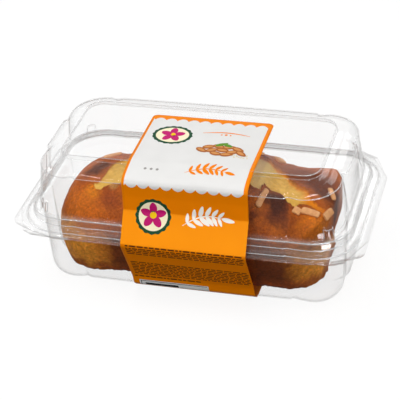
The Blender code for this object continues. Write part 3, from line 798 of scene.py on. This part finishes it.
def labelPrints():
    # Name, ink, height above the paper in mm, and shapes in (x, distance along the label)
    kernelShapes = [(*disc(x, s, 3.5, 2.1, tip=0.28, turn=a), 0.012 * k)
                    for k, (x, s, a) in enumerate(kernels)]
    kernelCores = [(*disc(x - 0.2, s - 0.3, 2.4, 1.05, tip=0.28, turn=a), 0.012 * k)
                   for k, (x, s, a) in enumerate(kernels)]
    draw = random.Random(5)
    flakes = [disc(draw.uniform(24, 34), draw.uniform(36.8, 40), draw.uniform(0.5, 0.9),
                   draw.uniform(0.25, 0.4), turn=draw.uniform(0, 180)) for k in range(17)]
    return [
        ("printWhite", "e2e1df", 0.06, [scallopPanel(-32.2, 38.3, 5.7, 68.5, -31.35, 6.95, 2.5),
                                        bar(-30, 12.8, 144.2, 150.2, 0.3)]),
        # A lighter orange on the lower front, which tilts up towards the light: partly the print's
        # own tone, partly painted light
        ("printFrontOrangeAndPaintedLight", "ff9504", 0.03, [bar(-33.75, 40.7, 85.8, 105.9, 0.01)]),
        ("printOrange", "ee8208", 0.08, [stem(1.3, 16.2, 30, 16.2, 2.0, 1.0),
                                         disc(15.6, 16.6, 0.9, 0.9), disc(12.9, 16.8, 0.6, 0.6),
                                         disc(18.3, 16.8, 0.6, 0.6),
                                         *sprig(1.5, 57.5, 25, 54.5, 3.0, 6, 2.7, 1.15)]),
        ("printGrey", "9a9794", 0.08, [disc(x, 57, 0.9, 0.9) for x in (-22, -18.4, -14.8)]),
        ("printSprig", "fbf7ef", 0.04, sprig(2.2, 92, 25.5, 86, 3.2, 6, 3.3, 1.4)),
        ("printGreen", "1f4a31", 0.1, [disc(-15.4, 88.1, 10.6, 10.6, 0.035, 16),
                                       disc(-16, 21.2, 12.0, 9.8, 0.03, 18)]),
        ("printCream", "f7ecc9", 0.13, [disc(-15.4, 88.1, 8.7, 8.7), disc(-16, 21.2, 10.0, 7.9)]),
        ("printBlossom", "c01a6c", 0.16, blossom(-15.4, 87.6, 4.3, 3.3, 2.3)
         + blossom(-16, 21, 4.0, 3.1, 2.2)),
        ("printYellow", "f2c415", 0.19, [disc(-15.4, 87.6, 2.0, 2.0), disc(-16, 21.0, 1.9, 1.9)]),
        ("printKernel", "a8602a", 0.08, kernelShapes),
        ("printKernelLight", "d08f52", 0.086, kernelCores),
        ("printFlakes", "dccb9e", 0.08, flakes),
        ("printLeaf", "5f8f2f", 0.24, [disc(15.2, 27.6, 3.2, 1.4, tip=0.4, turn=-28),
                                       disc(19.6, 27.9, 3.0, 1.3, tip=0.4, turn=-158)]),
        ("printBrown", "5e3315", 0.05,
         printRows(-31, 39.3, np.arange(106.3, 115, 1.9), 0.95, 1)
         + printRows(-31.2, 39.8, np.arange(123.6, 137.6, 1.9), 0.95, 2)
         + printRows(-32, 8.8, (140.2,), 1.1, 3)),
        ("printBlack", "2a2522", 0.08, [bar(-29.2, 11.9, 144.9, 145.3, 0.1),
                                        bar(-29.2, -28.7, 144.9, 149.8, 0.1),
                                        bar(-26.5, -6, 146.6, 148.8, 0.2)]),
    ]


# Loaf in mm. footRound: shares of the side and insets; waist: how far the right end's lower part
# is drawn in, between two heights each; sinks: side, depth and reach in x and y by which the back
# of each end lies lower; waves of the crown: height, lengths in x and y, phase
loaf = dict(left=-88.4, right=81.9, halfDepth=38.9, corner=27.1, base=1.5, spine=(-51.6, 59.2),
            endReach=6.0, crownEase=0.3, footRound=((0, 0.035, 0.12), (3.0, 1.0, 0.0)),
            waist=4.4, waistRise=(-6, 12), waistFade=(15, 34),
            sinks=((1, 2.4, (58, 78), (-14, 8)), (-1, 2.2, (36, 56), (-4, 14))),
            waves=((0.5, 9, 14, 0), (0.4, 5.5, -7, 1.3), (0.3, 16, 4.5, 0)),
            around=560, sideRows=42, crownRows=98)
# Height of the crown along the spine
crownLine = [(-88, 59.4), (-49, 57.5), (-36, 59), (0, 64.5), (25, 67), (38, 65.5), (46, 58.8),
             (54, 56.6), (84.3, 54.7)]
# Sides: height of the widest part, inset at the base, bend below, power and root of the crown
leftEnd = (22.9, 3.8, 1.5, 2.8, 0.54)
rightEnd = (47.9, 2.9, 1.4, 2.2, 0.33)
longSide = (31.8, 6.5, 1.5, 2.14, 0.54)
# Front and back edge of the split as (x, y), and how the crust rises towards them
splitLine = dict(
    front=[(-66, -15), (-64, -16.6), (-60.8, -20.2), (-58, -21), (-56.2, -18.9), (-53.1, -16.7),
           (-49, -16.7), (-45, -15.3), (34, -15), (39.2, -16.5), (40.6, -11.5), (47.7, -11.2),
           (52.2, -12.6), (57.2, -16.9), (61.2, -19), (64.4, -17.8), (69.5, -19.3), (75.6, -21),
           (80, -20.5)],
    back=[(-66, -14.6), (-64, -15.4), (-61.4, -16.8), (-59.6, -15.2), (-58.3, -11), (-57.2, -5.4),
          (-56.2, 0), (-55, 5), (-52, 8), (-30, 11), (20, 15), (33, 15.2), (39.5, 10.2),
          (45.1, 8.2), (49.1, 6.2), (55.4, 0), (60.1, -4.9), (63.4, -6.5), (66.2, -8.8),
          (68.9, -13.1), (71.3, -16), (75, -17.5), (80, -19.2)],
    ends=(-63.2, 80.0), fade=14.0, lipRise=0.9, lipReach=5.0, flapRise=2.2, flapReach=9.0,
    crumbLevel=-0.4, crumbSink=1.4, border=(-0.25, 0.35),
    tornFront=((0.9, 4.5, 11), (0.5, 1.7, 12)), tornBack=((1.0, 5.5, 13), (0.5, 1.9, 14)))


def tableAt(table, x):
    # Curve through (x, value) pairs: half straight, half eased between them
    xs, values = np.array(table, float).T
    i = np.clip(np.searchsorted(xs, x) - 1, 0, len(xs) - 2)
    t = np.clip((x - xs[i]) / (xs[i + 1] - xs[i]), 0, 1)
    t = t * t * (3 - 2 * t) * 0.5 + t * 0.5
    return values[i] + (values[i + 1] - values[i]) * t


def loafOutline():
    # Rounded rectangle, even steps along it, anticlockwise from the middle of the right end
    p = loaf
    runX = (p["right"] - p["left"]) / 2 - p["corner"]
    runY = p["halfDepth"] - p["corner"]
    a = np.linspace(0, np.pi / 2, 91)
    arcs = [np.c_[sx * runX + p["corner"] * np.cos(a + k * np.pi / 2),
                  sy * runY + p["corner"] * np.sin(a + k * np.pi / 2)]
            for k, (sx, sy) in enumerate(((1, 1), (-1, 1), (-1, -1), (1, -1)))]
    path = np.concatenate([[(runX + p["corner"], 0)], *arcs, [(runX + p["corner"], 0)]])
    length = np.r_[0, np.cumsum(np.hypot(*np.diff(path, axis=0).T))]
    at = np.arange(p["around"]) / p["around"] * length[-1]
    middle = (p["left"] + p["right"]) / 2
    return np.interp(at, length, path[:, 0]) + middle, np.interp(at, length, path[:, 1])


def splitShape(x, y):
    # Crumb sunk behind the front crust, the back crust lifted; both lines torn by noise
    s = splitLine
    line = np.stack([x, x * 0, x * 0], axis=-1)
    fade = np.clip(np.minimum(x - s["ends"][0], s["ends"][1] - x) / s["fade"], 0, 1)
    front = tableAt(s["front"], x) + layeredNoise(line, s["tornFront"]) * fade
    back = tableAt(s["back"], x) + layeredNoise(line, s["tornBack"]) * fade
    t = np.clip((y - front) / np.maximum(back - front, 0.5), 0, 1)
    lip = s["lipRise"] * np.exp(np.minimum(y - front, 0) / s["lipReach"])
    flap = s["flapRise"] * np.exp(np.minimum(back - y, 0) / s["flapReach"])
    crumb = s["crumbLevel"] - s["crumbSink"] * (1 - t)
    rise = fade * np.where(y < front, lip, np.where(y > back, flap, crumb))
    inside = eased(y - front, *s["border"]) * eased(back - y, *s["border"]) * (fade > 0.02)
    return rise, inside, fade, y - front, y - back


def loafGrid():
    # Columns run from the base up the side and over the crown to the spine
    p = loaf
    x, y = loafOutline()
    right = np.clip((x - p["spine"][1]) / (p["right"] - p["spine"][1] - p["endReach"]), 0, 1)
    left = np.clip((p["spine"][0] - x) / (p["spine"][0] - p["left"] - p["endReach"]), 0, 1)
    wide, insetBase, bend, power, root = (m + (r - m) * right + (l - m) * left
                                          for m, r, l in zip(longSide, rightEnd, leftEnd))
    spineX = np.clip(x, *p["spine"])
    wayX, wayY = spineX - x, -y
    length = np.hypot(wayX, wayY)
    wayX, wayY = wayX / length, wayY / length
    # Sides: from the base up to the widest part, drawn in by inset (1 - share)^bend
    share = (np.linspace(0, 1, p["sideRows"]) ** 1.35)[:, None]
    foot = np.interp(share, *p["footRound"])
    height = p["base"] + share * (wide - p["base"])
    back = insetBase * (1 - share) ** bend + foot
    drawn = eased(height, *p["waistRise"]) * (1 - eased(height, *p["waistFade"]))
    back = back + p["waist"] * right * drawn
    side = np.stack([x + wayX * back, y + wayY * back, height], -1)
    # Crown: in towards the spine, rising by (1 - (1 - share)^power)^root of the height left
    share = (np.linspace(0, 1, p["crownRows"] + 1)[1:] ** 1.25)[:, None]
    px, py = x + (spineX - x) * share, y * (1 - share)
    rise = (1 - (1 - share) ** power) ** root
    swell = sum(h * np.sin(px / a + py / b + phase) for h, a, b, phase in p["waves"])
    ease = np.minimum(1, share / p["crownEase"])
    split, inside, fade, frontOff, backOff = splitShape(px, py)
    z = wide + (tableAt(crownLine, px) - wide) * rise + (split + swell) * ease
    sink = sum(depth * eased(way * px, *reachX) * eased(py, *reachY)
               for way, depth, reachX, reachY in p["sinks"])
    z -= sink * ease  # both ends sink towards the back
    crown = np.stack([px, py, z], axis=-1)
    rows = np.concatenate([side, crown])
    zeros = np.zeros(side.shape[:2])
    crumb = np.concatenate([zeros, inside * ease])
    offFront = np.concatenate([zeros - 30, frontOff])
    offBack = np.concatenate([zeros + 30, backOff])
    tear = np.concatenate([zeros, fade * ease])
    out = np.stack([-wayX, -wayY], axis=-1)
    lean = np.concatenate([np.ones((p["sideRows"], 1)), (1 - share) ** 2])  # 0 on top, 1 below
    return rows, crumb, offFront, offBack, tear, out, lean


# Skin with swells and pits, the crumb's pores and its holes, where a noise is above a level, and
# the rough foot that stuck to the mould: height, cell and seed of each noise, in mm
relief = dict(skin=((0.35, 6.0, 21), (0.22, 2.6, 22)), pore=0.07,
              pores=((1.0, 1.9, 23), (0.7, 1.1, 24)), hole=0.12, holes=((1.0, 3.1, 25),),
              holeLevel=0.35, holeGain=1.6, foot=0.75, footNoise=((1.0, 3.4, 26), (0.8, 1.5, 27)),
              footHeights=(8, 2))


def roughenedLoaf():
    # Moves the surface by skin (1 - crumb) + pores and holes (crumb) + foot, out on the sides and
    # up on the crown
    rows, crumb, offFront, offBack, tear, out, lean = loafGrid()
    r = relief
    skin = layeredNoise(rows, r["skin"])
    holes = -np.clip(layeredNoise(rows, r["holes"]) - r["holeLevel"], 0, 1) * r["holeGain"]
    low = eased(rows[..., 2], *r["footHeights"]) * layeredNoise(rows, r["footNoise"])
    crumbRelief = r["pore"] * layeredNoise(rows, r["pores"]) + r["hole"] * holes
    move = (1 - crumb) * skin + crumb * crumbRelief + r["foot"] * low
    rows[..., :2] += out * (move * lean)[..., None]
    rows[..., 2] += move * (1 - lean) * (rows[..., 2] > r["footHeights"][0])
    rows[0, :, 2] = loaf["base"]
    return rows, crumb, offFront, offBack, tear


# Baked colours of the crust and the crumb
bakes = dict(golden="ffaa3c", streak="d88428", dark="703616", middle="c0640f", red="a84c0f",
             foot="94451a", flap="a04e12", crumb="edc05c", crumbDeep="d29b3b",
             crumbPaleAndPaintedLight="fbdc8c", crumbEdge="e2840a")
# Where colours meet, in mm, low and high end of each change: x of the golden ends, heights of the
# dark lower sides and the foot, the parts where borders wander, and the crumb's paler part (partly
# painted light that lifts the label's shadow) and orange parts; noises as above
borders = dict(left=(46, 60), right=(54, 73), lower=(42, 32), foot=(13, 5), back=(-10, 20),
               rightEnd=(76, 82), pale=(-46, -34), orange=(60, 69), backRim=(3, 0),
               backRimX=(-40, 30), rough=((2.5, 5.0, 34), (1.2, 2.0, 35)),
               wander=((11, 26.0, 36),))
# Patches of the crust: its own tones, and painted shade and painted light as marked below: middle,
# radius in mm, colour, strength
crustTonesPaintedShadeAndLight = [
    # Painted shade: the dark patches of these three lines deepen the crust's own dark brown below
    # the split's front edge on the right
    ((50, -19, 55), 10, "3e190a", 0.95), ((43, -17, 57), 6, "4a1f0c", 0.8),
    ((52, -27, 50), 8, "4a1f0c", 0.75), ((60, -29, 47), 10, "6a2f10", 0.55),
    ((39, -24, 56), 5, "c8701c", 0.8), ((39, -31, 53), 5, "54240f", 0.7),
    # The crust's own dark brown on the left flap
    ((-66, -4, 56), 9, "4e210d", 0.9), ((-62, 1, 58), 6, "54240f", 0.8),
    # Painted shade on the right end and on the back of the top at the right
    ((83, -6, 44), 9, "5a2610", 0.6), ((79, -5, 48), 12, "4e1e0a", 0.8),
    ((70, 6, 55), 15, "54220a", 0.85), ((54, 10, 58), 12, "64290d", 0.7),
    # The crust's own orange, low on the right front
    ((74, -25, 45), 11, "dc7a0c", 0.8), ((70, -32, 40), 11, "c8690e", 0.5),
    # Painted light: brighter orange low on the left front, where the light falls flatter
    ((-66, -27, 49), 12, "ce6b08", 0.8), ((-76, -22, 42), 12, "c4630a", 0.7),
    ((-60, -34, 40), 12, "ca640a", 0.8), ((-48, -36, 38), 9, "bb580b", 0.7),
    # The crust's own tones
    ((-63, -22, 52), 6, "de8009", 0.7), ((-73, 2, 54), 7, "c8640f", 0.7),
    ((-50, -18, 56), 4, "d8a058", 0.7), ((-50, -27, 52), 8, "8a3c14", 0.6),
]


def loafColours(rows, crumb, offFront, offBack, tear):
    # Golden at the lower ends, dark brown along the middle of the sides, reddish brown on top
    x, y, z = rows[..., 0], rows[..., 1], rows[..., 2]
    b = borders
    ink = {name: linear(code) for name, code in bakes.items()}
    blotch = 0.5 + 0.5 * valueNoise(rows, 9.0, 31)
    fine = 0.5 + 0.5 * valueNoise(rows, 1.5, 32)
    streak = 0.5 + 0.5 * valueNoise(rows * (1, 1, 0.25), 2.4, 33)
    rough = layeredNoise(rows, b["rough"])

    def mix(first, second, share):
        return first + (second - first) * np.clip(share, 0, 1)[..., None]

    colour = mix(ink["red"], ink["middle"], blotch)
    turned = np.maximum(eased(y, *b["back"]), eased(x, *b["rightEnd"]))
    wander = layeredNoise(rows, b["wander"]) * turned  # borders wind on the back and right end
    ends = np.maximum(eased(-x + rough + wander, *b["left"]),
                      eased(x + rough - wander, *b["right"]))
    lower = eased(z + rough + 0.5 * wander + 0.6 * np.maximum(x - 70, 0), *b["lower"])
    colour = mix(colour, ink["dark"], lower * (1 - ends) * (0.8 + 0.2 * blotch))
    colour = mix(colour, mix(ink["streak"], ink["golden"], streak), lower * ends)
    colour = mix(colour, ink["foot"], 0.85 * eased(z + rough, *b["foot"]))
    # Crust patches: its own tones, with painted shade on the right and painted light low on the left
    # front
    for middle, radius, code, strength in crustTonesPaintedShadeAndLight:
        away = np.linalg.norm(rows - middle, axis=-1) + rough
        colour = mix(colour, linear(code), strength * eased(away, radius * 1.25, radius * 0.35))
    edge = tear * np.exp(-np.abs(offFront + 1.2) / 1.4) * (offFront < 0)
    colour = mix(colour, ink["dark"], 0.5 * edge * (0.4 + blotch))
    flap = tear * np.exp(-np.abs(offBack - 1.2) / 1.8) * (offBack > 0)
    colour = mix(colour, ink["flap"], 0.6 * flap)
    inner = mix(ink["crumbDeep"], ink["crumb"], 0.3 + 0.7 * fine)
    inner = mix(inner, ink["crumbPaleAndPaintedLight"], eased(-np.abs(x), *b["pale"]))  # palest in the middle and beside the label, partly painted light against the label's shadow
    backRim = 0.75 * eased(-offBack, *b["backRim"]) * eased(x, *b["backRimX"])
    inner = mix(inner, ink["crumbEdge"], np.maximum(eased(x, *b["orange"]), backRim))
    colour = mix(colour, inner, crumb) * (1 - (0.18 - 0.34 * fine) * (1 - 0.8 * crumb))[..., None]
    return np.concatenate([colour, crumb[..., None]], axis=-1)


# Grain's cell and lift in mm, strength of its bump on the crust and full crumb, how dark and light
# it tints the crust
crust = dict(grain=1.3, lift=0.7, bump=(0.8, 0.15), tint=(0.66, 1.3), crumbShare=0.75)


# Baked cake crust over open crumb: matt, sugary skin that only shines weakly at a low angle. Its
# grain is fainter on the crumb, where the alpha of "baked" is 1
def crustMaterial():
    material, tree, show = newMaterial("baked cake crust and crumb")
    where = addNode(tree, "ShaderNodeTexCoord")
    tint = addNode(tree, "ShaderNodeVertexColor", {"layer_name": "baked"})
    grain = noise(tree, where, crust["grain"], 4.0, 0.6)
    smooth = calculate(tree, "MULTIPLY", tint.outputs["Alpha"], crust["crumbShare"])
    bump = bumped(tree, grain, ranged(tree, smooth, *crust["bump"]), crust["lift"])
    even = ranged(tree, smooth, ranged(tree, grain, *crust["tint"], 0.3, 0.7), 1.02)
    tone = addNode(tree, "ShaderNodeVectorMath", {"operation": "SCALE", "Scale": even,
                                                  0: tint.outputs["Color"]})
    show(addNode(tree, "ShaderNodeBsdfPrincipled",
                 {"Base Color": tone.outputs[0], "Normal": bump, "Roughness": 0.55, "IOR": 1.3,
                  "Specular IOR Level": 0.4}))
    return material


def makeLoaf(material):
    # Crust from the spine of the base, (x, 0), out to the foot and up; grid closed all round
    rows, *rest = roughenedLoaf()
    colours = loafColours(rows, *rest)
    count = rows.shape[1]
    foot = rows[:1]
    spine = (foot + np.roll(foot[:, ::-1], 1, axis=1)) / 2 * (1, 0, 1)
    base = np.concatenate([spine * s + foot * (1 - s) for s in (1.0, 0.66, 0.33)])
    grid = np.concatenate([base, rows])
    colours = np.concatenate([np.repeat(colours[:1], 3, axis=0), colours])
    piece = putMesh("loafCrust", grid, gridFaces(len(grid), count, True), material, colours)
    return piece, rows


# x, y, heading in degrees, length and width of the slivers in front; more are strewn between the
# limits of strewn, the last ones between those of behind, with sizes drawn from the ranges
slivers = dict(shown=[(41.4, -20.1, 90, 14.3, 3.8), (62.7, -22.6, -30, 5.4, 4.2),
                      (70.7, -23.5, -15, 11.5, 4.2), (80.3, -20.5, 73, 8.5, 4.4),
                      (78.6, -1.6, -62, 10.8, 2.8)],
               more=16, strewn=(-40, 34, -30, 30), behind=(-70, 74, 14, 30), firstShare=0.7,
               lengths=(8, 13), widths=(3.2, 5.2), thick=1.7, sink=0.3, apart=11, seed=4,
               boxy=0.45, taper=0.08, bend=0.3, lump=0.09, lumpCell=1.6, tan="c67634",
               flesh="f6c084")


def sliverPlaces():
    # Draws places until enough of them lie apart from all others
    p = slivers
    draw = random.Random(p["seed"])
    places = list(p["shown"])
    shown, more = len(places), p["more"]
    while len(places) < shown + more:
        x, y = draw.uniform(*p["strewn"][:2]), draw.uniform(*p["strewn"][2:])
        if len(places) > shown + more * p["firstShare"]:
            x, y = draw.uniform(*p["behind"][:2]), draw.uniform(*p["behind"][2:])
        if all(math.hypot(x - other[0], y - other[1]) > p["apart"] for other in places):
            places.append((x, y, draw.uniform(0, 180), draw.uniform(*p["lengths"]),
                           draw.uniform(*p["widths"])))
    return places


def sliverGrid(length, width, seed):
    # Stick of almond: x = L/2 u, section a superellipse (|cos|^boxy, |sin|^boxy) whose size is
    # (1 - |u|^14)^0.5 (1 - taper u), bent sideways by bend (1 - u^2)
    p = slivers
    u = np.sin(np.linspace(-1, 1, 31) * np.pi / 2)[:, None]
    a = np.linspace(0, 2 * np.pi, 28, endpoint=False)
    size = np.sqrt(np.maximum(1 - np.abs(u) ** 14, 0)) * (1 - p["taper"] * u)
    cos, sin = np.cos(a), np.sin(a)
    y = width / 2 * size * np.sign(cos) * np.abs(cos) ** p["boxy"] + p["bend"] * (1 - u ** 2)
    z = p["thick"] / 2 * size * np.sign(sin) * np.abs(sin) ** p["boxy"]
    grid = np.stack([length / 2 * u + a * 0, y, z], axis=-1)
    lumps = [valueNoise(grid + seed * 7, p["lumpCell"], k) for k in (41, 42, 43)]
    return grid + p["lump"] * np.stack(lumps, -1)


# Blanched almond slivers, toasted on the cake: matt ivory flesh gone tan at the edges
def almondMaterial():
    material, tree, show = newMaterial("toasted almond sliver")
    toast = noise(tree, addNode(tree, "ShaderNodeTexCoord"), 3.5, 4.0)
    show(addNode(tree, "ShaderNodeBsdfPrincipled",
                 {"Base Color": blended(tree, paint(slivers["tan"]), paint(slivers["flesh"]), toast),
                  "Normal": bumped(tree, toast, 0.3, 0.2), "Roughness": 0.5, "IOR": 1.45}))
    return material


def makeSlivers(rows, material):
    # Each stick lies on the mean place and normal of the crust around it, a little sunk in
    normals = np.cross(np.roll(rows, -1, axis=1) - np.roll(rows, 1, axis=1),
                       np.gradient(rows, axis=0))
    crown = rows[loaf["sideRows"]:]
    up = normals[loaf["sideRows"]:]
    points, quads, start = [], [], 0
    for number, (x, y, heading, length, width) in enumerate(sliverPlaces()):
        away = np.hypot(crown[..., 0] - x, crown[..., 1] - y)
        near = away < max(2.0, width * 0.7)
        spot = crown[near]
        normal = Vector(up[near].mean(axis=0)).normalized()
        if normal.z < 0:
            normal = -normal
        place = Vector((x, y, float(spot[:, 2].mean())))
        h = math.radians(heading)
        along = Vector((math.cos(h), math.sin(h), 0))
        along = (along - normal * along.dot(normal)).normalized()
        turn = np.array(Matrix((along, normal.cross(along), normal)).transposed())
        grid = sliverGrid(length, width, number) @ turn.T
        grid += np.array(place + normal * (slivers["thick"] / 2 - slivers["sink"]))
        quads.append(gridFaces(*grid.shape[:2], True) + start)
        points.append(grid.reshape(-1, 3))
        start += len(points[-1])
    return putMesh("almondSlivers", np.concatenate(points), np.concatenate(quads), material)


makeCamera()
makeStudio()
print("camera and studio set")

pet = clearPetMaterial()
lidSheet, lidGrid = makeLid(pet)
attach(lidSheet, "root")
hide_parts("lid")
for crease in makeCreases(lidGrid, creaseMaterial()):
    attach(crease, "root")
traySheet = makeTray(pet)
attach(traySheet, "root")
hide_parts("tray")
print("clear shells made")

labelSheet = makeLabel(printMaterial("printed label paper, orange", "f28400"))
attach(labelSheet, "root")
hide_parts("label")
for name, code, height, shapes in labelPrints():
    piece = makePrint(name, shapes, height, printMaterial(f"label ink {code}", code))
    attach(piece, "root")
print("label printed")

loafCrust, loafRows = makeLoaf(crustMaterial())
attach(loafCrust, "root")
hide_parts("cake")
almonds = makeSlivers(loafRows, almondMaterial())
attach(almonds, "root")
print("loaf baked")
